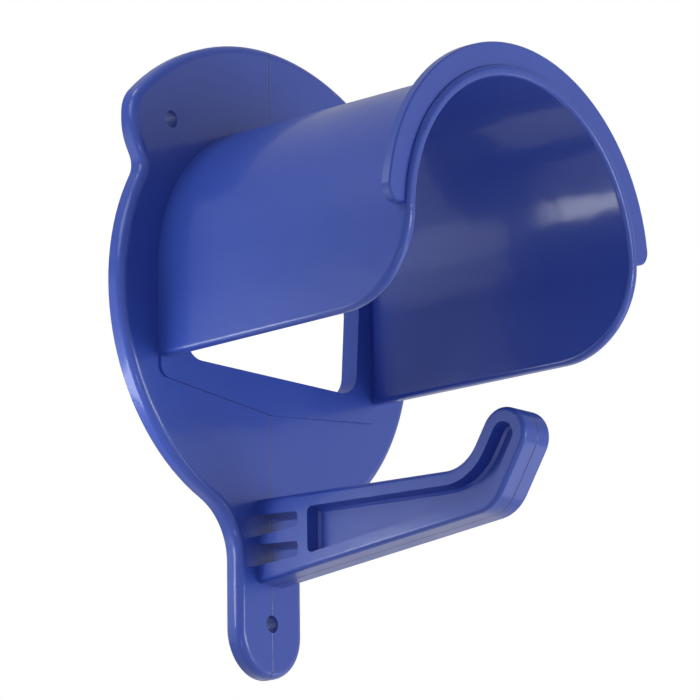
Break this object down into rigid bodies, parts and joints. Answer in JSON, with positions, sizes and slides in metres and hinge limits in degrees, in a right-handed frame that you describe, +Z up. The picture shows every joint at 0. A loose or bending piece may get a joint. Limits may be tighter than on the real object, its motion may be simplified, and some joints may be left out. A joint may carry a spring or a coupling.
{
  "type": "bridle holder",
  "caption": "Wall bracket for a bridle: round plate with an opening and screw holes, flared half-round saddle with a raised lip, strap hook below",
  "frame": {"origin": "Midway between the two upper screw holes, on the wall plane", "axes": "+Z up, the wall plane is y = 0 and the holder stands out from it to -Y, +X to the right as seen from the front"},
  "size_m": [0.15, 0.1249, 0.2223],
  "materials": {
    "body": "gloss violet-blue moulded plastic"
  },
  "bodies": {
    "root": {"bridle_holder": "body"}
  },
  "joints": []
}
